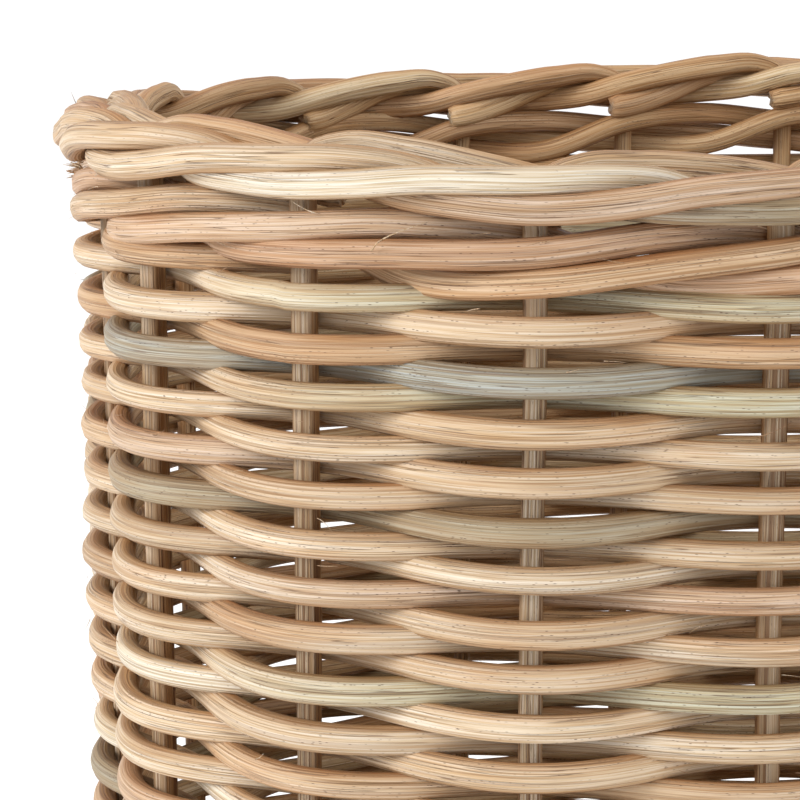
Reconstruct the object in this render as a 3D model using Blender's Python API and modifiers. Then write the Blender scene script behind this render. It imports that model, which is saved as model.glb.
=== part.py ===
"""A hand-woven rattan wastebasket, rounded rectangular and open at the top.

Bench order of the real basket: a foot hoop carries parallel base sticks, and the base weavers are
worked over and under them. Upright stakes stand round the hoop, held by a lower wale of three
canes. Long weavers then go round and round in a plain over-one-under-one weave, which only works
because the number of stakes is odd. An upper wale of three canes locks the weave, and the top of
each stake is kinked over and laid down along the rim: behind one stake, in front of two, and back
inside. That is a three-rod plain border, so each stake and its border strand are one length of cane.

Frame: +Z up, X across the longer side, origin on the floor under the middle of the basket.
"""

import math

import bpy
from mathutils import Vector

MM = 0.001

# Plan of the wall, measured to the middle of the stakes at the height of the upper wale.
WALL_WIDTH = 300 * MM
WALL_DEPTH = 276 * MM
CORNER_RADIUS = 100 * MM
WALL_TAPER = 0.012  # each metre further down, the wall stands this many metres further in

# Canes. A woven cane is drawn square, so its size is the side of that square.
STAKE_COUNT = 21  # odd, so that one weaver alternates from turn to turn
STAKE_DIAMETER = 4.8 * MM
WEAVER_SIZE = 4.4 * MM
WALE_SIZE = 4.4 * MM
CANE_GAP = 0.35 * MM  # clearance wherever one cane lies on another

# Wall weave.
WEAVER_COUNT = 10
TURNS_PER_WEAVER = 6  # even, so that a weaver both starts and ends behind a stake
TURN_PITCH = WEAVER_SIZE + 1.15 * CANE_GAP
JOIN_STAKE = 18  # every cane that goes round starts and ends behind this stake or the next ones
BUTT_GAP = 0.04  # share of a stake space left open between the ends of two canes

# Wales: three canes, each in front of two stakes and behind one.
WALE_CANES = 3

# Foot hoop and base.
HOOP_WIDTH = 9 * MM
HOOP_HEIGHT = 9 * MM
HOOP_EDGE = 2 * MM
FOOT_LIFT = 0.3 * MM  # the lower wale and the stake ends stay this far off the floor
BASE_STICK_COUNT = 7
BASE_STICK_EDGE = 36 * MM  # from the plan of the wall in to the outermost sticks
BASE_STICK_DIAMETER = 7 * MM
BASE_WEAVER_DIAMETER = 6.4 * MM
BASE_WEAVER_COUNT = 5

SQUARE_PROFILE, SIX_SIDED, EIGHT_SIDED = 0, 1, 2  # bevel_resolution of a cane

# Radial places of a woven cane's middle, measured outwards from the middle of the stakes.
WEAVE_OFFSET = (STAKE_DIAMETER + WEAVER_SIZE) / 2 + CANE_GAP
WALE_OFFSET = (STAKE_DIAMETER + WALE_SIZE) / 2 + CANE_GAP
WALE_SLACK = 0.2068  # share of a wale cane's size left over where it slopes across the next one
WALE_RISE = WALE_SIZE * (1 + WALE_SLACK) / 2  # half the height between two in front of a stake

# Route of a wale cane: stake spaces since it went behind a stake, then how far out, in wale offsets,
# and how far above the middle of the wale, in wale rises.
WALE_ROUTE = (
    (0.0, -1.00, 1.25),
    (0.5, -0.30, -1.30),
    (1.0, 1.00, -1.00),
    (1.5, 1.17, 0.15),
    (2.0, 1.00, 1.00),
    (2.5, 0.32, 2.13),
)

# The weave climbs one turn pitch each time round, so its top ends in a step behind the join stake. The
# upper wale and the border ride up that slope and come down at the step. Stakes after the join, and pitches.
STEP_ROUTE = ((0, 0.0), (2, 0.1), (19, 1.0), (20, 1.1), (21, 0.88), (22, 0.15), (23, 0.1))

# Heights, each from the piece below it.
WALE_LOWEST = min(rise for _, _, rise in WALE_ROUTE) * WALE_RISE
WALE_HIGHEST = max(rise for _, _, rise in WALE_ROUTE) * WALE_RISE
WALE_TO_WEAVE = (WALE_SIZE + WEAVER_SIZE) / 2 + CANE_GAP
LOWER_WALE_HEIGHT = 2 * FOOT_LIFT + WALE_SIZE / 2 - WALE_LOWEST
FIRST_TURN_HEIGHT = LOWER_WALE_HEIGHT + WALE_HIGHEST + WALE_TO_WEAVE
WEAVE_HEIGHT = (WEAVER_COUNT * TURNS_PER_WEAVER - 1) * TURN_PITCH  # up to the low side of the step
UPPER_WALE_HEIGHT = FIRST_TURN_HEIGHT + WEAVE_HEIGHT + WALE_TO_WEAVE - WALE_LOWEST
WALE_TOP = WALE_HIGHEST + WALE_SIZE / 2

# Route of a border strand: stake spaces to the right of its own stake, then how far out from the
# middle of the stakes and how far above the top of the upper wale, both in stake diameters.
BORDER_ROUTE = (
    (0.00, 0.00, 0.81),
    (0.06, -0.10, 1.51),
    (0.18, -0.45, 1.95),
    (0.45, -0.96, 1.93),
    (0.75, -1.22, 1.73),
    (1.00, -1.28, 1.41),
    (1.12, -1.12, 1.13),
    (1.25, -0.48, 0.77),
    (1.50, 0.64, 0.51),
    (1.75, 1.20, 0.45),
    (2.00, 1.38, 0.43),
    (2.30, 1.56, 0.77),
    (2.60, 1.66, 1.27),
    (3.00, 1.38, 1.53),
    (3.25, 0.90, 1.67),
    (3.50, 0.08, 1.51),
    (3.75, -0.62, 0.79),
    (3.96, -1.20, 0.25),
    (4.10, -1.38, 0.17),
)


# ---------------------------------------------------------------- the plan of the wall


def plan_length():
    """Length of the rounded rectangle that the stakes stand on."""
    straights = 2 * (WALL_WIDTH + WALL_DEPTH) - 8 * CORNER_RADIUS
    return straights + 2 * math.pi * CORNER_RADIUS


STAKE_SPACE = plan_length() / STAKE_COUNT


def plan_point(distance):
    """Point and outward normal at a distance along the plan, anticlockwise from the middle of the front."""
    half_width = WALL_WIDTH / 2 - CORNER_RADIUS
    half_depth = WALL_DEPTH / 2 - CORNER_RADIUS
    quarter = math.pi * CORNER_RADIUS / 2
    corners = (
        (half_width, -half_depth, -90),
        (half_width, half_depth, 0),
        (-half_width, half_depth, 90),
        (-half_width, -half_depth, 180),
    )
    sides = (half_width, 2 * half_depth, 2 * half_width, 2 * half_depth)
    distance %= plan_length()
    for (x, y, start), side in zip(corners, sides):
        outward = Vector((math.cos(math.radians(start)), math.sin(math.radians(start)), 0))
        along = Vector((-outward.y, outward.x, 0))
        corner = Vector((x, y, 0))
        if distance < side:
            return corner + outward * CORNER_RADIUS - along * (side - distance), outward
        distance -= side
        if distance < quarter:
            angle = math.radians(start) + distance / CORNER_RADIUS
            turned = Vector((math.cos(angle), math.sin(angle), 0))
            return corner + turned * CORNER_RADIUS, turned
        distance -= quarter
    return Vector((distance - half_width, -WALL_DEPTH / 2, 0)), Vector((0, -1, 0))


def wall_point(stake, outwards, height):
    """Point at a place counted in stakes, so far out from the middle of the stakes, at a height."""
    point, outward = plan_point((stake + 0.5) * STAKE_SPACE)
    lean = WALL_TAPER * (UPPER_WALE_HEIGHT - height)
    return point + outward * (outwards - lean) + Vector((0, 0, height))


# ---------------------------------------------------------------- objects


def make_material(name, colour, roughness):
    """A dry, uncoated natural finish."""
    material = bpy.data.materials.new(name)
    material.use_nodes = True
    shader = material.node_tree.nodes["Principled BSDF"]
    shader.inputs["Base Color"].default_value = (*colour, 1)
    shader.inputs["Roughness"].default_value = roughness
    shader.inputs["Metallic"].default_value = 0
    return material


def make_cane(name, points, size, profile, material, collection):
    """A length of cane through the points. A square profile is turned to lie flat, and size is its side."""
    curve = bpy.data.curves.new(name, "CURVE")
    curve.dimensions = "3D"
    curve.twist_mode = "Z_UP" if profile == SQUARE_PROFILE else "MINIMUM"
    curve.bevel_depth = size / math.sqrt(2) if profile == SQUARE_PROFILE else size / 2
    curve.bevel_resolution = profile
    curve.use_fill_caps = True
    spline = curve.splines.new("POLY")
    spline.points.add(len(points) - 1)
    for place, point in zip(spline.points, points):
        place.co = (*point, 1)
        place.tilt = math.radians(45) if profile == SQUARE_PROFILE else 0
    curve.materials.append(material)
    obj = bpy.data.objects.new(name, curve)
    collection.objects.link(obj)
    return obj


# ---------------------------------------------------------------- the wall


def step_rise(after_join):
    """How far the upper wale and the border ride up, so many stakes after the join."""
    for (start, low), (end, high) in zip(STEP_ROUTE, STEP_ROUTE[1:]):
        if after_join <= end:
            return TURN_PITCH * (low + (high - low) * (after_join - start) / (end - start))
    return TURN_PITCH * STEP_ROUTE[-1][1]


def stake_points(stake):
    """A stake from just above the floor up to the rim, then along the border."""
    points = [wall_point(stake, 0, FOOT_LIFT)]
    first_kept = STEP_ROUTE[1][0]
    for along, outwards, above in BORDER_ROUTE:
        after_join = first_kept + (stake + along - JOIN_STAKE - first_kept) % STAKE_COUNT
        height = UPPER_WALE_HEIGHT + WALE_TOP + step_rise(after_join) + above * STAKE_DIAMETER
        points.append(wall_point(stake + along, outwards * STAKE_DIAMETER, height))
    return points


def round_stake(stake):
    """How far out a weaver passes in front of a stake: it leaves at a slant, more so where the wall turns."""
    here, after = (plan_point((stake + n + 0.5) * STAKE_SPACE)[1] for n in (0, 1))
    before = plan_point((stake - 0.5) * STAKE_SPACE)[1]
    turn = max(here.angle(after), here.angle(before)) / 2
    return WEAVE_OFFSET / math.cos(turn + math.atan(2 * WEAVE_OFFSET / STAKE_SPACE))


def weaver_points(number):
    """One weaver: a point at each stake that it passes, behind even places and in front of odd ones."""
    crossings = TURNS_PER_WEAVER * STAKE_COUNT
    first = number * crossings
    places = [first + n for n in range(crossings)] + [first + crossings - BUTT_GAP]
    points = []
    for place in places:
        outwards = -WEAVE_OFFSET * math.cos(math.pi * place)
        if outwards > WEAVE_OFFSET / 2:
            outwards = round_stake(JOIN_STAKE + place)
        height = FIRST_TURN_HEIGHT + TURN_PITCH * place / STAKE_COUNT
        points.append(wall_point(JOIN_STAKE + place, outwards, height))
    return points


def wale_points(number, height, has_step):
    """One cane of a wale, once round, with its ends meeting behind a stake."""
    route = []
    for start in range(number, number + STAKE_COUNT, WALE_CANES):
        route += [(start + along, outwards, rise) for along, outwards, rise in WALE_ROUTE]
    route.append((number + STAKE_COUNT - BUTT_GAP, *WALE_ROUTE[0][1:]))
    points = []
    for place, outwards, rise in route:
        above = rise * WALE_RISE + (step_rise(place) if has_step else 0)
        points.append(wall_point(JOIN_STAKE + place, outwards * WALE_OFFSET, height + above))
    return points


def build_wall(light, tan, collection):
    for stake in range(STAKE_COUNT):
        name = f"stake_{stake + 1:02d}"
        make_cane(name, stake_points(stake), STAKE_DIAMETER, SIX_SIDED, tan, collection)
    for number in range(WEAVER_COUNT):
        name = f"wall_weaver_{number + 1:02d}"
        make_cane(name, weaver_points(number), WEAVER_SIZE, SQUARE_PROFILE, light, collection)
    for place, height, has_step in (("lower", LOWER_WALE_HEIGHT, False), ("upper", UPPER_WALE_HEIGHT, True)):
        for number in range(WALE_CANES):
            points = wale_points(number, height, has_step)
            make_cane(f"{place}_wale_{number + 1}", points, WALE_SIZE, SQUARE_PROFILE, tan, collection)


# ---------------------------------------------------------------- the base

# The hoop stands just inside the rear canes of the lower wale.
HOOP_MIDDLE = -(WALE_OFFSET + WALE_SIZE / 2 + CANE_GAP + HOOP_WIDTH / 2)
HOOP_LEAN = WALL_TAPER * UPPER_WALE_HEIGHT
BASE_STICK_HEIGHT = HOOP_HEIGHT + CANE_GAP + BASE_STICK_DIAMETER / 2
BASE_OFFSET = (BASE_STICK_DIAMETER + BASE_WEAVER_DIAMETER) / 2 + 2.5 * CANE_GAP
BASE_PITCH = BASE_WEAVER_DIAMETER + 2 * CANE_GAP


def make_ring_outline(curve, inset):
    """Adds one closed outline to a 2D curve: the plan moved inwards by the inset."""
    arc_points = 9
    radius = CORNER_RADIUS - inset
    spline = curve.splines.new("POLY")
    outline = []
    for turn, (x, y) in enumerate(((1, -1), (1, 1), (-1, 1), (-1, -1))):
        centre_x = x * (WALL_WIDTH / 2 - CORNER_RADIUS)
        centre_y = y * (WALL_DEPTH / 2 - CORNER_RADIUS)
        for step in range(arc_points):
            angle = math.radians(90) * (turn - 1 + step / (arc_points - 1))
            outline.append((centre_x + radius * math.cos(angle), centre_y + radius * math.sin(angle)))
    spline.points.add(len(outline) - 1)
    for place, (x, y) in zip(spline.points, outline):
        place.co = (x, y, 0, 1)
    spline.use_cyclic_u = True


def make_foot_hoop(material, collection):
    """A thick rattan hoop, flat underneath, that the basket stands on."""
    curve = bpy.data.curves.new("foot_hoop", "CURVE")
    curve.dimensions = "2D"
    curve.fill_mode = "BOTH"
    curve.extrude = HOOP_HEIGHT / 2
    for side in (-1, 1):
        make_ring_outline(curve, HOOP_LEAN - HOOP_MIDDLE + side * HOOP_WIDTH / 2)
    curve.materials.append(material)
    hoop = bpy.data.objects.new("foot_hoop", curve)
    hoop.location = (0, 0, HOOP_HEIGHT / 2)
    collection.objects.link(hoop)
    weld = hoop.modifiers.new("weld", "WELD")
    weld.merge_threshold = 0.01 * MM
    edges = hoop.modifiers.new("rounded_edges", "BEVEL")
    edges.width = HOOP_EDGE
    edges.segments = 1
    edges.limit_method = "ANGLE"
    edges.angle_limit = math.radians(60)


def half_width_at(y, inset):
    """Half the width of the plan, moved inwards by the inset, at a distance y from its middle."""
    radius = CORNER_RADIUS - inset
    past_corner = abs(y) - (WALL_DEPTH / 2 - CORNER_RADIUS)
    if past_corner <= 0:
        return WALL_WIDTH / 2 - inset
    if past_corner >= radius:
        return 0
    return WALL_WIDTH / 2 - CORNER_RADIUS + math.sqrt(radius**2 - past_corner**2)


def half_depth_at(x, inset):
    """The same for the depth."""
    radius = CORNER_RADIUS - inset
    past_corner = abs(x) - (WALL_WIDTH / 2 - CORNER_RADIUS)
    if past_corner <= 0:
        return WALL_DEPTH / 2 - inset
    return WALL_DEPTH / 2 - CORNER_RADIUS + math.sqrt(radius**2 - past_corner**2)


def stick_x(number):
    half_reach = WALL_WIDTH / 2 - BASE_STICK_EDGE
    return half_reach * (2 * number / (BASE_STICK_COUNT - 1) - 1)


def last_stick(y, inset):
    """The outermost stick, counted from the right, that a base weaver can turn round at y."""
    reach = half_width_at(y, inset)
    fitting = [n for n in range(BASE_STICK_COUNT) if abs(stick_x(n)) <= reach]
    return max(fitting)


def base_rows():
    """The y of each row of base weaving, front to back, clear of the hoop."""
    inset = HOOP_LEAN - HOOP_MIDDLE + HOOP_WIDTH / 2 + CANE_GAP + BASE_WEAVER_DIAMETER / 2
    room = WALL_DEPTH - 2 * inset
    count = 1 + int(room / BASE_PITCH)
    return [(n - (count - 1) / 2) * BASE_PITCH for n in range(count)]


def base_weaver_points(rows, first_row):
    """A base weaver: along each row over and under the sticks, and round the last stick to the next row."""
    wrap = BASE_OFFSET
    inset = HOOP_LEAN - HOOP_MIDDLE + HOOP_WIDTH / 2 + CANE_GAP + wrap + BASE_WEAVER_DIAMETER
    points = []
    turn_stick = None
    for count, y in enumerate(rows):
        row = first_row + count
        side = 1 if row % 2 == 0 else -1
        far = last_stick(y, inset)
        if count + 1 < len(rows):
            far = min(far, last_stick(rows[count + 1], inset))
        near = turn_stick if turn_stick is not None else BASE_STICK_COUNT - 1 - last_stick(y, inset)
        if side < 0:
            far = BASE_STICK_COUNT - 1 - far
            near = turn_stick if turn_stick is not None else last_stick(y, inset)
        for number in range(near, far + side, side):
            over = 1 if (number + row) % 2 == 0 else -1
            points.append(Vector((stick_x(number), y, BASE_STICK_HEIGHT + over * BASE_OFFSET)))
        turn_stick = far
        if count + 1 < len(rows):
            x = stick_x(far) + side * wrap
            for share in (0.25, 0.75):
                rise = BASE_OFFSET * (1 - 2 * share)
                over = 1 if (far + row) % 2 == 0 else -1
                points.append(Vector((x, y + share * BASE_PITCH, BASE_STICK_HEIGHT + over * rise)))
    return points


def build_base(light, pole, collection):
    make_foot_hoop(pole, collection)
    end_inset = HOOP_LEAN + WALE_OFFSET + WALE_SIZE / 2 + 2 * CANE_GAP
    for number in range(BASE_STICK_COUNT):
        x = stick_x(number)
        reach = min(half_depth_at(x - BASE_STICK_DIAMETER / 2, end_inset),
                    half_depth_at(x + BASE_STICK_DIAMETER / 2, end_inset))
        ends = [Vector((x, -reach, BASE_STICK_HEIGHT)), Vector((x, reach, BASE_STICK_HEIGHT))]
        make_cane(f"base_stick_{number + 1}", ends, BASE_STICK_DIAMETER, EIGHT_SIDED, pole, collection)
    rows = base_rows()
    share = math.ceil(len(rows) / BASE_WEAVER_COUNT)
    for number in range(BASE_WEAVER_COUNT):
        first = number * share
        points = base_weaver_points(rows[first:first + share], first)
        name = f"base_weaver_{number + 1}"
        make_cane(name, points, BASE_WEAVER_DIAMETER, SIX_SIDED, light, collection)


def main():
    for obj in list(bpy.data.objects):
        bpy.data.objects.remove(obj)
    collection = bpy.data.collections.new("wastebasket")
    bpy.context.scene.collection.children.link(collection)
    light = make_material("pale_cane", (0.60, 0.44, 0.27), 0.62)
    tan = make_material("tan_cane", (0.52, 0.33, 0.19), 0.66)
    pole = make_material("rattan_pole", (0.46, 0.28, 0.15), 0.58)
    build_wall(light, tan, collection)
    build_base(light, pole, collection)


main()
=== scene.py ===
"""A rattan wastebasket: every cane of the frame is rebuilt as a grooved, tapered, hand-bent length of cane.

Lengths are in millimetres until a mesh is made. A place on the wall is (u, r, z): u counts stake
spaces to the right round the wall, r is how far out from the middle of the stakes, z is the height.
"""

import math

import bpy
import numpy as np
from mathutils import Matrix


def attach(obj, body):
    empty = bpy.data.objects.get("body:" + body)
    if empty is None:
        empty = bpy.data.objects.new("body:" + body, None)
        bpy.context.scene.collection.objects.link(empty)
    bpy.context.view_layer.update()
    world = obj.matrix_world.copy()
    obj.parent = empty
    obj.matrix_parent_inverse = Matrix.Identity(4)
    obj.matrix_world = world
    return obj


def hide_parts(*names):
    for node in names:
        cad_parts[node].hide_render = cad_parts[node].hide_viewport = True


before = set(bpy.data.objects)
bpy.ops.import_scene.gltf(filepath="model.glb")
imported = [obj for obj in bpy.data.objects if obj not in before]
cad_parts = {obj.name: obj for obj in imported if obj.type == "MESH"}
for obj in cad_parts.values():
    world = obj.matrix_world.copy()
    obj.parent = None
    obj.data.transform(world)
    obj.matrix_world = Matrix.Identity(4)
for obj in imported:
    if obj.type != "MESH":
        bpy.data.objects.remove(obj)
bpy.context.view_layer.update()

MM = 0.001

# ------------------------------------------------------------------ sizes, as in the frame

WALL_WIDTH, WALL_DEPTH, CORNER_RADIUS = 300.0, 276.0, 100.0
WALL_TAPER = 0.012  # how far the wall leans in for each millimetre down
STAKES = 21
STAKE_THICKNESS = 4.8
TURN_PITCH = 4.8025
TURNS_PER_WEAVER, WEAVERS = 6, 10
JOIN = 18.0  # every cane that goes round starts and ends behind this stake or the next ones
WALE_CANES = 3
WALE_SIZE, WALE_OFFSET, WALE_RISE = 4.4, 4.95, 2.655
LOWER_WALE, FIRST_TURN, UPPER_WALE = 6.2515, 16.6565, 308.2055
FOOT_GAP = 0.35  # between the hoop, the base and the lower wale
HOOP_WIDTH, HOOP_HEIGHT = 9.0, 9.0
BASE_STICKS, STICK_SPACING, STICK_THICKNESS = 7, 38.0, 7.0
BASE_WEAVERS, BASE_THICKNESS = 5, 6.4
BASE_STEP = (STICK_THICKNESS + BASE_THICKNESS) / 2 + 0.875  # from the middle of a stick to a weaver's
BASE_PITCH = BASE_THICKNESS + 2 * FOOT_GAP
STICK_HEIGHT = HOOP_HEIGHT + FOOT_GAP + STICK_THICKNESS / 2

LEAN = WALL_TAPER * UPPER_WALE
WALE_INSET = LEAN + WALE_OFFSET + WALE_SIZE / 2
HOOP_INSET = WALE_INSET + FOOT_GAP + HOOP_WIDTH / 2
BASE_INSET = HOOP_INSET + HOOP_WIDTH / 2 + FOOT_GAP

PLAN_LENGTH = 2 * (WALL_WIDTH + WALL_DEPTH) - 8 * CORNER_RADIUS + 2 * math.pi * CORNER_RADIUS
STAKE_SPACE = PLAN_LENGTH / STAKES

# ------------------------------------------------------------------ the canes as they really lie

# Thicknesses. Most canes are a little thicker than in the frame, because they press on each other.
WEAVER_CANE, WALE_CANE = 5.62, 5.75
BORDER_SWELL, BACK_SWELL = 0.90, 0.75  # how much thicker a stake is in the border, and more at the back
HOOP_POLE, STICK_POLE, BASE_CANE = 8.8, 6.8, 6.1

WEAVER_SWING = 5.30  # how far a weaver passes in front of the stakes and behind them
WALE_SETTLING = 1.2  # how far the upper wale has sunk on to the weave
DENT, DENT_PLACE, DENT_REACH = 2.6, 15.0, 1.5  # the left side is pressed in a little
SPRUNG_STAKE, SPRUNG = 13, 3.4  # the border strand that stands out at the front left corner

# How far the wale and the border ride up, in turn pitches, at stakes after the join.
STEP_RISE = (
    (0, 0.0),
    (2, 0.10),
    (10, 0.52),
    (19, 1.0),
    (20, 1.10),
    (21, 0.88),
    (22, 0.15),
    (23, 0.10),
    (24, 0.12),
)
# How much higher the border stands, at stakes from the first: pulled up at the back, pressed left of it.
RIM_LIFT = (
    (0, 0.0),
    (6.5, 0.0),
    (8.0, 2.2),
    (9.0, 3.6),
    (9.5, 2.8),
    (10.3, 0.8),
    (11.0, -1.0),
    (12.0, -2.2),
    (14.0, -2.0),
    (15.3, -0.6),
    (16.3, 0.0),
    (21, 0.0),
)

# Colours of single canes, linear.
TONES = {
    "cream": (0.570, 0.450, 0.310),
    "pale": (0.620, 0.540, 0.410),
    "straw": (0.530, 0.395, 0.255),
    "tan": (0.460, 0.325, 0.200),
    "orange": (0.490, 0.325, 0.185),
    "pink": (0.515, 0.368, 0.245),
    "rose": (0.460, 0.300, 0.185),
    "brown": (0.340, 0.200, 0.105),
    "olive": (0.310, 0.250, 0.160),
    "green": (0.480, 0.430, 0.290),
    "grey": (0.360, 0.345, 0.280),
}
EDGE_PAINTED_SHADE = (0.24, 0.46, 0.66)  # painted shade: how much of each colour a cane loses where it lies on its neighbours, in the crevices between canes
INNER_PAINTED_SHADE = (0.03, 0.16, 0.34)  # and painted shade on its inner side, which faces the shadowed inside
CUT_SHADE = 0.6  # how much of its colour the middle of a cut end keeps


def tones(names):
    return np.array([TONES[name] for name in names])


# ------------------------------------------------------------------ curves and paths


def between(keys, values, at):
    """Values at places, in straight lines between keys, one column for each of theirs."""
    return np.stack([np.interp(at, keys, column) for column in np.transpose(values)], 1)


def smooth(keys, values, at):
    """A curve through values at keys: cubic between two keys, its slopes taken from the keys either side."""
    keys, values = np.asarray(keys, float), np.asarray(values, float)
    if values.ndim > 1:
        return np.stack([smooth(keys, column, at) for column in values.T], 1)
    slope = np.gradient(values, keys)
    i = np.clip(np.searchsorted(keys, at, side="right") - 1, 0, len(keys) - 2)
    width = keys[i + 1] - keys[i]
    t = (at - keys[i]) / width
    a, b = values[i], values[i + 1]
    sa, sb = slope[i] * width, slope[i + 1] * width
    through = a * (1 + 2 * t) * (1 - t) ** 2 + b * t * t * (3 - 2 * t)
    return through + sa * t * (1 - t) ** 2 - sb * t * t * (1 - t)


def wander(at, period, seed):
    """A slow random wave of about unit height: random values one period apart, eased from one to the next."""
    at = np.asarray(at) / period
    first = int(np.floor(at.min())) - 1
    values = np.random.default_rng(seed).normal(0, 0.7, int(at.max()) - first + 4)
    i = np.floor(at).astype(int)
    t = at - i
    t = t * t * (3 - 2 * t)
    return values[i - first] * (1 - t) + values[i - first + 1] * t


def bump(at, middle, reach):
    """A bell curve: exp(-((at - middle) / reach)^2)."""
    return np.exp(-(((at - middle) / reach) ** 2))


def walk(points):
    """The distance walked at each point of a path."""
    return np.concatenate([[0], np.cumsum(np.linalg.norm(np.diff(points, axis=0), axis=1))])


def plan_of(distance):
    """x, y and the outward direction at distances along the plan from the middle of its front, to the right.

    The outward direction holds still along each straight side and turns a quarter round each corner.
    The plan is that direction, turned a quarter to the left, added up along the way.
    """
    half_front = WALL_WIDTH / 2 - CORNER_RADIUS
    side = WALL_DEPTH - 2 * CORNER_RADIUS
    quarter = math.pi * CORNER_RADIUS / 2
    runs = [half_front, quarter, side, quarter, 2 * half_front, quarter, side, quarter, half_front]
    turns = [0, 90, 0, 90, 0, 90, 0, 90, 0]
    ends = np.concatenate([[0], np.cumsum(runs)])
    facing = np.radians(-90 + np.concatenate([[0], np.cumsum(turns)]))
    steps = np.linspace(0, ends[-1], 16001)
    angle = np.interp((steps[1:] + steps[:-1]) / 2, ends, facing)
    x = np.concatenate([[0], np.cumsum(-np.sin(angle))]) * steps[1]
    y = np.concatenate([[0], np.cumsum(np.cos(angle))]) * steps[1] - WALL_DEPTH / 2
    way = np.mod(distance, ends[-1])
    angle = np.interp(way, ends, facing)
    return np.interp(way, steps, x), np.interp(way, steps, y), np.cos(angle), np.sin(angle)


def on_wall(u, r, z):
    """Points at wall places, and the outward direction at each: plan + outwards x (r - lean - dent).

    The lean grows downwards. The dent is a shallow bell curve in the left side.
    """
    x, y, nx, ny = plan_of((u + 0.5) * STAKE_SPACE)
    out = r - WALL_TAPER * (UPPER_WALE - z) - DENT * bump(np.mod(u, STAKES), DENT_PLACE, DENT_REACH)
    points = np.stack([x + nx * out, y + ny * out, z + 0 * out], 1)
    return points, np.stack([nx, ny, 0 * nx], 1)


def step_rise(after_join):
    """How far the wale and the border ride up: one turn pitch, gained once round and lost at the join."""
    stakes, pitches = np.transpose(STEP_RISE)
    return TURN_PITCH * smooth(stakes, pitches, after_join)


def rim_lift(u):
    """How much higher than even the border stands at each place."""
    places, lifts = np.transpose(RIM_LIFT)
    return np.interp(np.mod(u, STAKES), places, lifts)


# ------------------------------------------------------------------ lengths of cane


def mesh_piece(name, blocks, node, finish, grooved=1.0):
    """One object from several closed skins, each (points in mm, quads, triangles, fibre, tone).

    `grooved` says how deep the grooves of the finish run, for the whole piece or at each point.
    """
    counts = np.cumsum([0] + [len(b[0]) for b in blocks])
    points = np.concatenate([b[0] for b in blocks]) * MM
    quads = np.concatenate([b[1] + c for b, c in zip(blocks, counts)])
    triangles = np.concatenate([b[2] + c for b, c in zip(blocks, counts)])
    mesh = bpy.data.meshes.new(name)
    mesh.vertices.add(len(points))
    mesh.vertices.foreach_set("co", points.ravel().astype(np.float32))
    corners = np.concatenate([quads.ravel(), triangles.ravel()])
    mesh.loops.add(len(corners))
    mesh.loops.foreach_set("vertex_index", corners.astype(np.int32))
    starts = np.concatenate([np.arange(len(quads)) * 4, len(quads) * 4 + np.arange(len(triangles)) * 3])
    mesh.polygons.add(len(starts))
    mesh.polygons.foreach_set("loop_start", starts.astype(np.int32))
    mesh.polygons.foreach_set("use_smooth", np.ones(len(starts), bool))
    fibre = mesh.attributes.new("fibre", "FLOAT_VECTOR", "POINT")
    fibre.data.foreach_set("vector", np.concatenate([b[3] for b in blocks]).ravel().astype(np.float32))
    tone = mesh.attributes.new("tone", "FLOAT_COLOR", "POINT")
    colour = np.concatenate([b[4] for b in blocks])
    colour = np.concatenate([colour, np.broadcast_to(grooved, len(colour))[:, None]], 1)
    tone.data.foreach_set("color", colour.ravel().astype(np.float32))
    mesh.update()
    mesh.validate()
    mesh.materials.append(finish)
    piece = bpy.data.objects.new(name, mesh)
    bpy.context.scene.collection.objects.link(piece)
    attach(piece, "root")
    if node:
        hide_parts(node)
    return piece


def cane_radius(rng, way, angle, ridge, twist, seed):
    """The radius along and round a cane, as a share of half its thickness.

    It is 1 + the sum of a_k cos(k angle + phase_k + twist x distance) over k = 2..9, which cuts long ridges
    and flats. It swells and thins slowly along the way, and it is drawn in by a fifth at the very ends.
    """
    radius = np.ones((len(way), len(angle)))
    for k in range(2, 10):
        phase = rng.uniform(0, 2 * np.pi)
        drift = 0.6 * wander(way, 70.0, seed * 31 + k)[:, None]
        strength = ridge * rng.uniform(0.4, 1.3) * (1.2 if k < 4 else 0.8)
        radius += strength * np.cos(k * angle[None] + phase + drift + twist * way[:, None])
    radius *= 1 + 0.022 * wander(way, 34.0, seed * 17 + 3)[:, None]
    to_end = np.minimum(way, way[-1] - way)[:, None]
    return radius * (0.80 + 0.20 * np.sqrt(np.clip(to_end / 0.6, 0, 1)))


def tube_faces(rings, sides):
    """Quads between rings of points, and a fan on each end, whose middle points come after the rings."""
    ring, spoke = np.meshgrid(np.arange(rings - 1), np.arange(sides), indexing="ij")
    a = ring * sides + spoke
    b = ring * sides + (spoke + 1) % sides
    quads = np.stack([a, b, b + sides, a + sides], -1).reshape(-1, 4)
    spokes = np.arange(sides)
    following = (spokes + 1) % sides
    last_ring = (rings - 1) * sides
    start_middle, end_middle = rings * sides, rings * sides + 1
    start_fan = np.stack([following, spokes, np.full(sides, start_middle)], 1)
    end_fan = np.stack([last_ring + spokes, last_ring + following, np.full(sides, end_middle)], 1)
    return quads, np.concatenate([start_fan, end_fan])


def cane_fibre(rng, way, angle):
    """Where each point lies in the cane's own wood: 2.6 mm from its middle, and how far along it.

    Each cane has its own random start, so that no two have the same grain.
    """
    start = rng.uniform(0, 400, 3)
    shape = (len(way), len(angle))
    across = [np.broadcast_to(2.6 * turned, shape) for turned in (np.cos(angle), np.sin(angle))]
    fibre = np.stack([*across, np.broadcast_to(way[:, None], shape)], -1).reshape(-1, 3)
    return np.concatenate([fibre, [[0, 0, 0], [0, 0, way[-1]]]]) + start


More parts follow.
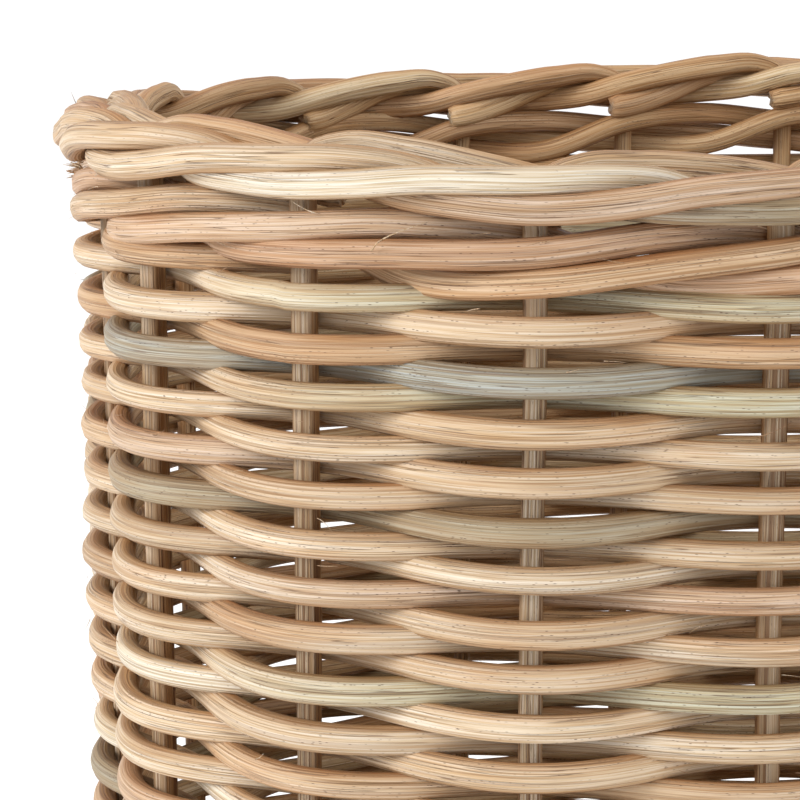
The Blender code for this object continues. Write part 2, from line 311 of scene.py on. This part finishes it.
def cane_colour(tone, rings, angle):
    """The tone of each point, darkened by painted shade.

    The painted shade of the edges, where a cane lies in the crevice against its neighbours, goes with the
    fourth power of sin(angle); that of the inner side, which faces the shadowed inside, goes with
    -cos(angle).
    """
    tone = np.broadcast_to(np.asarray(tone, float), (rings, 3))
    edge = np.abs(np.sin(angle)) ** 4
    inner = np.clip(-np.cos(angle), 0, 1)
    # painted shade: darker in the crevices where the cane meets its neighbours, and on its inner side
    kept = 1 - edge[:, None] * np.array(EDGE_PAINTED_SHADE) - inner[:, None] * np.array(INNER_PAINTED_SHADE)
    colour = (tone[:, None] * kept[None]).reshape(-1, 3)
    return np.concatenate([colour, tone[:1] * CUT_SHADE, tone[-1:] * CUT_SHADE])


def cane(points, outward, thickness, seed, tone, ridge=0.020, squash=1.0, sides=16, twist=0.012, ragged=0.0):
    """A length of cane carried along points, closed by a fan at both ends.

    Its section is a soft square, |x|^2.4 + |y|^2.4 = 1, `squash` times as deep as it is tall, times the
    radius above. `ragged` is how far the points of its ends stand in or out.
    """
    rng = np.random.default_rng(seed)
    tangent = np.gradient(points, axis=0)
    tangent /= np.linalg.norm(tangent, axis=1)[:, None]
    side = outward - (outward * tangent).sum(1)[:, None] * tangent
    side /= np.linalg.norm(side, axis=1)[:, None]
    up = np.cross(tangent, side)
    way = walk(points)
    angle = np.linspace(0, 2 * np.pi, sides, endpoint=False)
    soft = (np.abs(np.cos(angle)) ** 2.4 + np.abs(np.sin(angle)) ** 2.4) ** (-1 / 2.4)
    half = np.broadcast_to(np.asarray(thickness, float) / 2, way.shape)[:, None]
    reach = half * cane_radius(rng, way, angle, ridge, twist, seed) * soft[None]
    skin = (
        points[:, None]
        + side[:, None] * (reach * squash * np.cos(angle))[:, :, None]
        + up[:, None] * (reach * np.sin(angle))[:, :, None]
    )
    if ragged:
        torn = rng.uniform(-ragged, ragged, (2, sides))
        skin[0] += tangent[0] * torn[0][:, None]
        skin[-1] += tangent[-1] * torn[1][:, None]
    middles = np.stack([skin[0].mean(0), skin[-1].mean(0)])
    skin = np.concatenate([skin.reshape(-1, 3), middles])
    quads, fans = tube_faces(len(way), sides)
    return skin, quads, fans, cane_fibre(rng, way, angle), cane_colour(tone, len(way), angle)


# ------------------------------------------------------------------ finishes

# How many cells a millimetre each pattern has across the cane, both ways, and along it.
BANDS = (0.60, 0.60, 0.010)
FIBRES = (2.3, 2.3, 0.026)
THREADS = (4.2, 4.2, 0.055)
CLOUDS = (0.14, 0.14, 0.022)
CRACKS = (1.9, 1.9, 0.022)
GROOVES = (1.75, 1.75, 0.012)
PORES = (3.3, 3.3, 0.62)

# What a cane's tone is multiplied by in its parts.
DARK_FIBRE, DARKEST_FIBRE, PALE_FIBRE = (0.76, 0.62, 0.44, 1), (0.62, 0.46, 0.29, 1), (1.15, 1.27, 1.50, 1)
ROSY_CLOUD, GROOVE_SHADE = (0.97, 0.82, 0.70, 1), (0.40, 0.27, 0.18, 1)
# Colours of their own.
CRACK_BROWN, PORE_BROWN = (0.130, 0.062, 0.028, 1), (0.080, 0.036, 0.016, 1)
RELIEF = 0.00032  # metres from the deepest groove to the highest fibre


class Graph:
    """A short way to write shader nodes: each call adds a node, joins its inputs, and gives its output."""

    def __init__(self, material):
        self.tree = material.node_tree

    def fill(self, made, inputs):
        for key, value in inputs.items():
            if isinstance(value, bpy.types.NodeSocket):
                self.tree.links.new(value, made.inputs[key])
            else:
                made.inputs[key].default_value = value

    def add(self, kind, inputs, output=0, **settings):
        made = self.tree.nodes.new(kind)
        for key, value in settings.items():
            setattr(made, key, value)
        self.fill(made, inputs)
        return made.outputs[output]

    def attribute(self, name, output):
        return self.add("ShaderNodeAttribute", {}, output, attribute_name=name)

    def maths(self, operation, a, b=0.0, clamp=False):
        return self.add("ShaderNodeMath", {0: a, 1: b}, operation=operation, use_clamp=clamp)

    def band(self, value, low, high, to_low=0.0, to_high=1.0):
        """A value eased from to_low at low to to_high at high."""
        inputs = {"Value": value, "From Min": low, "From Max": high, "To Min": to_low, "To Max": to_high}
        return self.add("ShaderNodeMapRange", inputs, interpolation_type="SMOOTHSTEP")

    def scaled(self, vector, scale):
        return self.add("ShaderNodeVectorMath", {0: vector, 1: scale}, operation="MULTIPLY")

    def noise(self, vector, scale, detail, roughness=0.5):
        vector = self.scaled(vector, scale)
        inputs = {"Vector": vector, "Scale": 1.0, "Detail": detail, "Roughness": roughness}
        return self.add("ShaderNodeTexNoise", inputs)

    def mix(self, factor, a, b, blend="MIX"):
        made = self.tree.nodes.new("ShaderNodeMix")
        made.data_type = "RGBA"
        made.blend_type = blend
        self.fill(made, {0: factor, 6: a, 7: b})
        return made.outputs[2]

    def times(self, colour, shade):
        return self.mix(1.0, colour, shade, "MULTIPLY")


def cane_finish(name, depth=1.0, stain=1.0, pores=1.0, ribs=0.36):
    """Dry peeled rattan: long pale and dark fibres, dark grooves, cracks and short pores, and soft stains.

    `depth` is for the relief and the cracks, `stain` for the rosy clouds, `pores` for the pores and
    `ribs` for the grooves.
    """
    material = bpy.data.materials.new(name)
    material.use_nodes = True
    g = Graph(material)
    shader = material.node_tree.nodes["Principled BSDF"]
    wood = g.attribute("fibre", "Vector")
    tone = g.attribute("tone", "Color")
    ribs = g.maths("MULTIPLY", g.attribute("tone", "Alpha"), ribs)

    bands = g.noise(wood, BANDS, 2.0)
    fibres = g.noise(wood, FIBRES, 2.0, 0.6)
    threads = g.noise(wood, THREADS, 1.0)
    clouds = g.noise(wood, CLOUDS, 2.0)
    crack_lines = g.maths("ABSOLUTE", g.maths("SUBTRACT", g.noise(wood, CRACKS, 1.0), 0.5))
    cracks = g.maths("MULTIPLY", g.band(crack_lines, 0.004, 0.020, 1.0, 0.0), g.band(bands, 0.40, 0.56))
    grooves = g.band(g.noise(wood, GROOVES, 1.0), 0.36, 0.45, 1.0, 0.0)
    cells = g.add("ShaderNodeTexVoronoi", {"Vector": g.scaled(wood, PORES), "Scale": 1.0})
    dots = g.maths("MULTIPLY", g.band(cells, 0.10, 0.26, 1.0, 0.0), g.band(fibres, 0.51, 0.59))

    dark = g.times(tone, DARK_FIBRE)
    darkest = g.times(tone, DARKEST_FIBRE)
    pale = g.times(tone, PALE_FIBRE)
    colour = g.mix(g.band(bands, 0.36, 0.66, 0.0, 0.35), tone, dark)
    colour = g.mix(g.band(fibres, 0.47, 0.66, 0.0, 0.85), colour, pale)
    colour = g.mix(g.band(fibres, 0.33, 0.48, 0.55, 0.0), colour, dark)
    colour = g.mix(g.band(threads, 0.34, 0.47, 0.55, 0.0), colour, darkest)
    colour = g.mix(g.band(threads, 0.54, 0.68, 0.0, 0.55), colour, pale)
    colour = g.mix(g.band(clouds, 0.48, 0.74, 0.0, 0.75 * stain), colour, g.times(colour, ROSY_CLOUD))
    colour = g.mix(g.maths("MULTIPLY", grooves, ribs), colour, g.times(tone, GROOVE_SHADE))
    colour = g.mix(g.maths("MULTIPLY", cracks, 0.66 * depth, True), colour, CRACK_BROWN)
    colour = g.mix(g.maths("MULTIPLY", dots, 0.92 * pores, True), colour, PORE_BROWN)

    height = g.maths("ADD", g.maths("MULTIPLY", fibres, 0.9), g.maths("MULTIPLY", threads, 0.6))
    height = g.maths("SUBTRACT", height, g.maths("MULTIPLY", cracks, 0.60))
    height = g.maths("SUBTRACT", height, g.maths("MULTIPLY", g.maths("MULTIPLY", grooves, ribs), 0.8))
    height = g.maths("SUBTRACT", height, g.maths("MULTIPLY", dots, 0.25))
    relief = g.add("ShaderNodeBump", {"Strength": 0.8, "Distance": RELIEF * depth, "Height": height})
    g.fill(shader, {"Base Color": colour, "Normal": relief, "Specular IOR Level": 0.35})
    g.fill(shader, {"Roughness": g.band(threads, 0.3, 0.7, 0.48, 0.66)})
    return material


WOVEN = cane_finish("woven_cane")
UPRIGHT = cane_finish("upright_cane", depth=1.2, stain=0.5, pores=0.5, ribs=0.85)
POLE = cane_finish("rattan_pole", depth=1.2, stain=0.8, pores=0.8, ribs=0.2)


# ------------------------------------------------------------------ the wall weave

# The turns of the weave from the top down: the tone left of the join stake, and the one right of it.
TURN_TONES = (
    "orange orange, cream green, cream straw, orange orange, grey grey, straw green, "
    "cream straw, straw cream, pink straw, tan straw, olive olive, cream straw, "
    "straw cream, cream pink, cream straw, tan cream, cream straw, cream green, "
    "pale cream, straw cream, cream straw, straw tan, cream cream, pale straw"
)
COMMON_TONES = ["cream", "straw", "cream", "tan", "pink", "pale", "straw", "cream", "green", "olive"]
TURN_STEPS = STAKES * 21  # points along one turn of a cane


def turn_tones():
    """Two tones per turn, from the bottom turn up. The turns below the listed ones are picked at random."""
    rng = np.random.default_rng(77)
    listed = [pair.split() for pair in TURN_TONES.split(", ")][::-1]
    picked = rng.integers(0, len(COMMON_TONES), (TURNS_PER_WEAVER * WEAVERS + 1 - len(listed), 2))
    return [[COMMON_TONES[i] for i in pair] for pair in picked] + listed


def turn_colour(place):
    """The tone and a thickness factor at each place, counted in stakes from the join."""
    keys, values, thick = [], [], []
    rng = np.random.default_rng(5)
    for turn, (left, right) in enumerate(turn_tones()):
        keys += [turn * STAKES + k for k in (-7.0, -0.6, 0.6, 7.0)]
        values += [TONES[left], TONES[left], TONES[right], TONES[right]]
        thick += [1 + 0.035 * rng.normal()] * 4
    return between(keys, values, place), np.interp(place, keys, thick)


def weaver(number):
    """Six turns of the weave: r = -swing cos(pi u), and z climbs one pitch a turn, both wandering a little.

    z also has 0.4 cos(pi u), so that a weaver passes lower in front of a stake than behind one. The top
    turn is lifted next to the join.
    """
    places = TURNS_PER_WEAVER * STAKES
    u = np.linspace(number * places, (number + 1) * places - 0.04, TURNS_PER_WEAVER * TURN_STEPS)
    seed = 100 + number
    swing = WEAVER_SWING + 0.30 * wander(u, 2.1, seed)
    r = -swing * np.cos(np.pi * u) + 0.30 * wander(u, 1.3, seed + 20)
    climb = FIRST_TURN + 0.3 + TURN_PITCH * u / STAKES
    z = climb + 0.45 * wander(u, 1.7, seed + 40) + 0.4 * np.cos(np.pi * u)
    left = WEAVERS * places - u
    z = z + 1.3 * bump(np.mod(left, STAKES), 1.4, 1.6) * np.exp(-left / 40)
    points, outward = on_wall(JOIN + u, r, z)
    colour, factor = turn_colour(u)
    colour = colour * (1 + 0.07 * wander(u, 2.7, seed + 60)[:, None])
    thick = WEAVER_CANE * factor * (1 + 0.04 * wander(u, 3.0, seed + 80))
    return cane(points, outward, thick, seed, colour, squash=0.93)


for number in range(WEAVERS):
    name = f"weaver_{number + 1:02d}"
    mesh_piece(name, [weaver(number)], f"wall_{name}", WOVEN)


# ------------------------------------------------------------------ the wales

# One lap of a wale cane: u, then r in wale offsets and z in wale rises.
WALE_ROUTE = np.array(
    (
        (0.0, -1.00, 1.75),
        (0.5, -0.25, -1.15),
        (1.0, 1.00, -1.00),
        (1.5, 1.12, 0.05),
        (2.0, 1.02, 0.98),
        (2.5, 0.35, 2.10),
    )
)
# Tones of each wale cane where it starts, half way round and where it ends.
WALE_TONES = {
    "upper": (("orange", "straw", "straw"), ("rose", "tan", "pink"), ("tan", "pink", "rose")),
    "lower": (("tan", "straw", "cream"), ("straw", "cream", "tan"), ("cream", "tan", "straw")),
}


def wale(place, number, height):
    """One wale cane, once round: behind a stake, then in front of two, rising as it goes.

    The upper ones follow the weave's step and part of the rim's lift. The floor wears the lower ones flat.
    """
    laps = STAKES // WALE_CANES + 2
    route = np.concatenate([WALE_ROUTE + (WALE_CANES * lap, 0, 0) for lap in range(-1, laps)])
    seed = 300 + number + (10 if place == "upper" else 0)
    u = np.linspace(0, STAKES - 0.04, TURN_STEPS)
    r = smooth(route[:, 0], route[:, 1] * (WALE_OFFSET + 0.25), u) + 0.25 * wander(u, 1.9, seed)
    z = height + smooth(route[:, 0], route[:, 2] * WALE_RISE, u) + 0.30 * wander(u, 2.3, seed + 20)
    if place == "upper":
        lift = np.maximum(rim_lift(JOIN + number + u), 0)
        z = z + step_rise(u + number) - WALE_SETTLING + 0.7 * lift
    points, outward = on_wall(JOIN + number + u, r, z)
    start, middle, end = WALE_TONES[place][number]
    colour = between((0, 4, 8, 14, 17, 21), tones((start, start, middle, middle, end, end)), u)
    colour = colour * (1 + 0.08 * wander(u, 1.6, seed + 40)[:, None])
    block = cane(points, outward, WALE_CANE * (1 + 0.04 * wander(u, 2.0, seed + 60)), seed, colour)
    np.maximum(block[0][:, 2], 0.0, out=block[0][:, 2])
    return block


for place, height in (("lower", LOWER_WALE), ("upper", UPPER_WALE)):
    for number in range(WALE_CANES):
        name = f"{place}_wale_{number + 1}"
        mesh_piece(f"{name}_cane", [wale(place, number, height)], name, WOVEN)


# ------------------------------------------------------------------ stakes and border

# Where a stake goes above the wale: u, then r and z in stake thicknesses.
BORDER_ROUTE = np.array(
    (
        (0.00, 0.00, 1.00),
        (0.00, 0.00, 2.40),
        (0.06, -0.10, 3.12),
        (0.18, -0.45, 3.56),
        (0.45, -0.96, 3.56),
        (0.75, -1.22, 3.30),
        (1.00, -1.28, 2.92),
        (1.25, -0.48, 2.30),
        (1.50, 0.64, 2.08),
        (1.75, 1.22, 2.02),
        (2.00, 1.42, 2.02),
        (2.30, 1.62, 2.36),
        (2.60, 1.70, 2.86),
        (3.00, 1.40, 3.14),
        (3.25, 0.90, 3.26),
        (3.50, 0.08, 3.06),
        (3.75, -0.62, 2.22),
        (4.00, -1.28, 1.62),
        (4.10, -1.38, 1.50),
    )
)
STAKE_TONES = ["straw", "straw", "cream", "straw", "cream", "straw"]
OTHER_BORDER_TONES = ["cream", "straw", "pink", "tan", "pale"]
# Tones of single border strands: where the strand is laid down, and where it lies in front.
BORDER_TONES = {
    12: ("tan", "rose"),
    13: ("straw", "straw"),
    14: ("straw", "straw"),
    15: ("straw", "cream"),
    16: ("cream", "pale"),
    17: ("orange", "pink"),
    18: ("cream", "olive"),
    19: ("straw", "cream"),
    20: ("tan", "straw"),
}
STAKE_STEPS, STAKE_SIDES = 260, 20
BORDER_GROOVES = 0.30  # how deep the grooves of a stake still are in the border


def stake_path(number, seed):
    """u, r and z along a stake, the distance walked, and how much of it stands upright (1) or lies down (0).

    It goes up from the floor and then along the border route, as a curve that is smooth in distance walked.
    """
    foot = np.linspace(0.9, UPPER_WALE - 4, 24)
    above = BORDER_ROUTE[:, 2] + 0.10 * wander(BORDER_ROUTE[:, 0], 0.9, seed + 40)
    key_u = np.concatenate([0 * foot, BORDER_ROUTE[:, 0]])
    key_r = np.concatenate([0 * foot, BORDER_ROUTE[:, 1] * STAKE_THICKNESS])
    key_z = np.concatenate([foot, UPPER_WALE + above * STAKE_THICKNESS])
    walked = walk(np.stack([key_u * STAKE_SPACE, key_r, key_z], 1))
    way = np.linspace(0, walked[-1], STAKE_STEPS)
    u, r, z = (smooth(walked, keys, way) for keys in (key_u, key_r, key_z))
    upright = np.clip((UPPER_WALE - z) / 20, 0, 1)
    z = z + (1 - upright) * (step_rise(2 + (u + number - JOIN - 2) % STAKES) + rim_lift(u + number))
    u = u + upright * 0.010 * wander(z, 60, seed)
    if number == SPRUNG_STAKE:
        r = r + SPRUNG * (1 - upright) * bump(u, 2.15, 0.32)
    return u, r, z, way, upright


def stake_colour(number, seed, u, way):
    """One tone up to the wale, then its strand's tones: where it is laid down, and where it lies in front."""
    rng = np.random.default_rng(seed)
    below = STAKE_TONES[rng.integers(len(STAKE_TONES))]
    picked = [OTHER_BORDER_TONES[i] for i in rng.integers(0, len(OTHER_BORDER_TONES), 2)]
    laid, front = BORDER_TONES.get(number, picked)
    colour = between((0.0, 0.3, 1.2, 1.9, 5.0), tones((below, laid, laid, front, front)), u)
    return colour * (1 + 0.07 * wander(way, 40.0, seed + 60)[:, None])


def stake(number):
    """A stake from the floor to its cut end in the border, and how deep its grooves are at each point."""
    seed = 500 + number
    u, r, z, way, upright = stake_path(number, seed)
    points, outward = on_wall(u + number, r, z)
    swell = (BORDER_SWELL + BACK_SWELL * bump(u + number, 10.5, 2.5)) * np.clip((u - 0.1) / 0.4, 0, 1)
    thick = (STAKE_THICKNESS + swell) * (1 + 0.04 * wander(way, 60.0, seed + 80))
    colour = stake_colour(number, seed, u, way)
    block = cane(points, outward, thick, seed, colour, 0.026, sides=STAKE_SIDES, twist=0.004, ragged=0.8)
    grooved = BORDER_GROOVES + (1 - BORDER_GROOVES) * upright
    return block, np.concatenate([np.repeat(grooved, STAKE_SIDES), grooved[[0, -1]]])


for number in range(STAKES):
    node = f"stake_{number + 1:02d}"
    block, grooved = stake(number)
    mesh_piece(f"{node}_cane", [block], node, UPRIGHT, grooved)


# ------------------------------------------------------------------ foot and base

UPWARDS = (0.0, 0.0, 1.0)
SLANTING = (0.0, 0.7071, 0.7071)  # a side direction that no stretch of a base weaver runs along


def hoop():
    """The foot hoop: a thick pole bent round, its ends all but meeting, flat above and below."""
    u = np.linspace(0, STAKES - 0.02, 500)
    x, y, nx, ny = plan_of((u + 0.5) * STAKE_SPACE)
    points = np.stack([x - nx * HOOP_INSET, y - ny * HOOP_INSET, np.full(len(u), HOOP_HEIGHT / 2)], 1)
    outward = np.stack([nx, ny, 0 * nx], 1)
    block = cane(points, outward, HOOP_POLE, 701, TONES["tan"], ridge=0.008, sides=24)
    skin, quads, fans, fibre, colour = block
    skin[:, 2] = np.clip(skin[:, 2], 0.0, HOOP_HEIGHT)
    return skin, quads, fans, fibre * (0.6, 0.6, 1), colour


def half_size(across, inset, width, depth):
    """Half the plan's size, moved in by inset, along one axis at a distance across from its middle."""
    radius = CORNER_RADIUS - inset
    past = np.maximum(np.abs(across) - (width / 2 - CORNER_RADIUS), 0)
    curve = depth / 2 - CORNER_RADIUS + np.sqrt(np.maximum(radius**2 - past**2, 0))
    return np.where(past > 0, curve, depth / 2 - inset)


def stick_x(number):
    return (number - (BASE_STICKS - 1) / 2) * STICK_SPACING


def base_stick(number):
    """A straight pole that lies on the hoop, from inside the wale in front to inside the wale behind."""
    x = stick_x(number)
    edge = abs(x) + STICK_THICKNESS / 2
    reach = float(half_size(edge, WALE_INSET + 2 * FOOT_GAP, WALL_WIDTH, WALL_DEPTH))
    y = np.linspace(-reach, reach, 110)
    seed = 720 + number
    points = np.stack([x + 0.3 * wander(y, 60, seed), y, STICK_HEIGHT + 0 * y], 1)
    return cane(points, np.tile(UPWARDS, (len(y), 1)), STICK_POLE, seed, TONES["tan"], ridge=0.012, sides=18)


def last_stick(y):
    """The last stick to the right that a base weaver can turn round at y without meeting the hoop."""
    room = half_size(y, BASE_INSET + BASE_STEP + BASE_THICKNESS, WALL_DEPTH, WALL_WIDTH)
    return max(n for n in range(BASE_STICKS) if abs(stick_x(n)) <= room)


def base_rows():
    """The y of each row of the base, evenly about the middle."""
    room = WALL_DEPTH - 2 * (BASE_INSET + BASE_THICKNESS / 2)
    count = 1 + int(room / BASE_PITCH)
    return [(n - (count - 1) / 2) * BASE_PITCH for n in range(count)]


def base_route(rows, first):
    """Key points of one base weaver: over and under the sticks, and round the last stick to the next row."""
    keys, turned = [], None
    for count, y in enumerate(rows):
        row = first + count
        side = 1 if row % 2 == 0 else -1
        near = far = last_stick(y)
        more = count + 1 < len(rows)
        if more:
            far = min(far, last_stick(rows[count + 1]))
        near, far = (BASE_STICKS - 1 - near, far) if side > 0 else (near, BASE_STICKS - 1 - far)
        near = near if turned is None else turned
        for number in range(near, far + side, side):
            over = 1 if (number + row) % 2 == 0 else -1
            keys.append((stick_x(number), y, STICK_HEIGHT + over * BASE_STEP))
        turned = far
        if more:
            over = 1 if (far + row) % 2 == 0 else -1
            for share in (0.25, 0.75):
                z = STICK_HEIGHT + over * BASE_STEP * (1 - 2 * share)
                keys.append((stick_x(far) + side * BASE_STEP, y + share * BASE_PITCH, z))
    return np.array(keys)


def base_weaver(number, share):
    """One cane of the base: `share` rows to and fro, as a curve through its key points."""
    first = number * share
    keys = base_route(base_rows()[first : first + share], first)
    walked = walk(keys)
    way = np.linspace(0, walked[-1], int(walked[-1] / 2.4))
    points = smooth(walked, keys, way)
    tone = TONES[("straw", "cream", "tan", "straw", "cream")[number]]
    return cane(points, np.tile(SLANTING, (len(way), 1)), BASE_CANE, 740 + number, tone, sides=14)


mesh_piece("foot_hoop_pole", [hoop()], "foot_hoop", POLE)
for number in range(BASE_STICKS):
    name = f"base_stick_{number + 1}"
    mesh_piece(f"{name}_pole", [base_stick(number)], name, POLE)
rows_each = math.ceil(len(base_rows()) / BASE_WEAVERS)
for number in range(BASE_WEAVERS):
    name = f"base_weaver_{number + 1}"
    mesh_piece(f"{name}_cane", [base_weaver(number, rows_each)], name, WOVEN)


# ------------------------------------------------------------------ loose fibres


def hair_skins(paths, width, tone):
    """Thin three-sided hairs along paths (count x steps x 3), full width at the root and thin at the tip."""
    count, steps, _ = paths.shape
    tangent = np.gradient(paths, axis=1)
    tangent /= np.linalg.norm(tangent, axis=2)[:, :, None]
    side = np.cross(tangent, [0.31, 0.17, 0.93])
    side /= np.linalg.norm(side, axis=2)[:, :, None]
    up = np.cross(tangent, side)
    half = width[:, None] / 2 * np.linspace(1, 0.12, steps)[None] ** 0.7
    angle = np.arange(3) * 2 * np.pi / 3
    skin = (
        paths[:, :, None]
        + side[:, :, None] * (half[:, :, None] * np.cos(angle))[..., None]
        + up[:, :, None] * (half[:, :, None] * np.sin(angle))[..., None]
    )
    hair, ring, spoke = np.meshgrid(np.arange(count), np.arange(steps - 1), np.arange(3), indexing="ij")
    a = hair * steps * 3 + ring * 3 + spoke
    b = hair * steps * 3 + ring * 3 + (spoke + 1) % 3
    quads = np.stack([a, b, b + 3, a + 3], -1).reshape(-1, 4)
    root = np.arange(count) * steps * 3
    tip = root + (steps - 1) * 3
    caps = np.concatenate([np.stack([root + 2, root + 1, root], 1), np.stack([tip, tip + 1, tip + 2], 1)])
    points = skin.reshape(-1, 3)
    return points, quads, caps, points * 0.7, np.repeat(tone, steps * 3, 0)


def stray_fibres(count):
    """Short fibres lifting off the outside of the weave and the rim, each bending as it leaves."""
    rng = np.random.default_rng(12)
    turn = rng.integers(0, TURNS_PER_WEAVER * WEAVERS, count)
    u = np.round(rng.uniform(0, STAKES, count))
    u = u + np.where((turn * STAKES + u) % 2 == 1, 0, 1) + rng.uniform(-0.45, 0.45, count)
    z = FIRST_TURN + TURN_PITCH * (turn + u / STAKES) + rng.uniform(-2.0, 2.0, count)
    r = WEAVER_SWING * np.cos(np.pi * (u - np.round(u))) + 2.2
    on_rim = rng.random(count) < 0.3
    z = np.where(on_rim, UPPER_WALE + rng.uniform(-4, 19, count), z)
    r = np.where(on_rim, 8.0, r)
    length = rng.uniform(1.5, 6.0, count)
    way = np.linspace(0, 1, 7)[None]
    lean = rng.choice([-1, 1], count)[:, None]
    du = lean * length[:, None] * way / STAKE_SPACE
    dr = rng.uniform(0.1, 0.45, count)[:, None] * length[:, None] * way**1.6
    dz = rng.normal(0, 0.30, count)[:, None] * length[:, None] * way**1.5
    points, _ = on_wall((u[:, None] + du).ravel(), (r[:, None] + dr).ravel(), (z[:, None] + dz).ravel())
    tone = tones(["straw", "cream", "brown", "tan"])[rng.integers(0, 4, count)]
    return hair_skins(points.reshape(count, 7, 3), rng.uniform(0.10, 0.26, count), tone)


def long_fibre():
    """The one long splinter that stands off between the border and the wale."""
    way = np.linspace(0, 1, 9)
    u, r, z = 18.40 + 0.22 * way, 9.8 + 1.6 * np.sin(np.pi * way), UPPER_WALE + 2.4 + 5.8 * way**0.6
    points, _ = on_wall(u, r, z)
    return hair_skins(points[None], np.array([0.42]), tones(["straw"]))


def torn_end(count):
    """Splinters of a torn cane end at the front left corner, spread about the outward direction."""
    rng = np.random.default_rng(21)
    way = np.linspace(0, 1, 5)[None]
    length = rng.uniform(1.2, 3.4, count)[:, None]
    u = rng.uniform(15.1, 15.7, count)[:, None] + rng.normal(0, 0.012, count)[:, None] * way * length
    r = 6.6 + rng.uniform(0, 0.9, count)[:, None] + length * way
    root_z = UPPER_WALE + rng.uniform(5.5, 9.5, count)[:, None]
    z = root_z + rng.normal(0, 0.35, count)[:, None] * length * way
    points, _ = on_wall(u.ravel(), r.ravel(), z.ravel())
    tone = tones(["rose", "pink", "brown", "straw"])[rng.integers(0, 4, count)]
    return hair_skins(points.reshape(count, 5, 3), rng.uniform(0.25, 0.75, count), tone)


mesh_piece("loose_fibres", [stray_fibres(420), long_fibre(), torn_end(46)], None, WOVEN)


# ------------------------------------------------------------------ floor, light and camera, in metres

CAMERA_PLACE = (-0.1528, -0.6457, 0.3696)
CAMERA_DIP, CAMERA_TURN = 0.1685, -0.1121  # radians below level, and to the left of straight back
LENS, SENSOR = 124.227, 36  # millimetres
LIGHT_TARGET = (0.0, 0.0, 0.22)


def floor_finish():
    """Pale matt card."""
    material = bpy.data.materials.new("pale_floor")
    material.use_nodes = True
    shader = material.node_tree.nodes["Principled BSDF"]
    shader.inputs["Base Color"].default_value = (0.96, 0.96, 0.96, 1)
    shader.inputs["Roughness"].default_value = 0.9
    return material


def floor():
    """A plain pale floor that runs far back."""
    mesh = bpy.data.meshes.new("floor")
    mesh.from_pydata([(-40, -20, 0), (40, -20, 0), (40, 60, 0), (-40, 60, 0)], [], [(0, 1, 2, 3)])
    mesh.materials.append(floor_finish())
    obj = bpy.data.objects.new("floor", mesh)
    bpy.context.scene.collection.objects.link(obj)


def area_light(name, place, size, power):
    """A square soft light turned to face the basket."""
    light = bpy.data.lights.new(name, "AREA")
    light.shape = "SQUARE"
    light.size = size
    light.energy = power
    obj = bpy.data.objects.new(name, light)
    obj.location = place
    towards = np.array(LIGHT_TARGET) - np.array(place)
    flat = math.hypot(towards[0], towards[1])
    obj.rotation_euler = (math.atan2(flat, -towards[2]), 0, math.atan2(-towards[0], towards[1]))
    bpy.context.scene.collection.objects.link(obj)


def studio():
    """White light from all round, a key light from the left and a weak fill from the right."""
    bpy.context.scene.view_settings.view_transform = "Standard"
    world = bpy.data.worlds.new("studio")
    world.use_nodes = True
    world.node_tree.nodes["Background"].inputs["Color"].default_value = (1, 1, 1, 1)
    world.node_tree.nodes["Background"].inputs["Strength"].default_value = 1.10
    bpy.context.scene.world = world
    area_light("key", (-2.05, -0.75, 1.2), size=0.9, power=36)
    area_light("fill", (1.4, -1.4, 1.0), size=1.4, power=5)


def camera():
    """The camera in front of the left part of the basket, close to the height of its rim."""
    data = bpy.data.cameras.new("camera")
    data.sensor_width = SENSOR
    data.lens = LENS
    data.clip_start, data.clip_end = 0.01, 200
    obj = bpy.data.objects.new("camera", data)
    obj.location = CAMERA_PLACE
    obj.rotation_euler = (math.pi / 2 - CAMERA_DIP, 0, CAMERA_TURN)
    bpy.context.scene.collection.objects.link(obj)
    bpy.context.scene.camera = obj


floor()
studio()
camera()
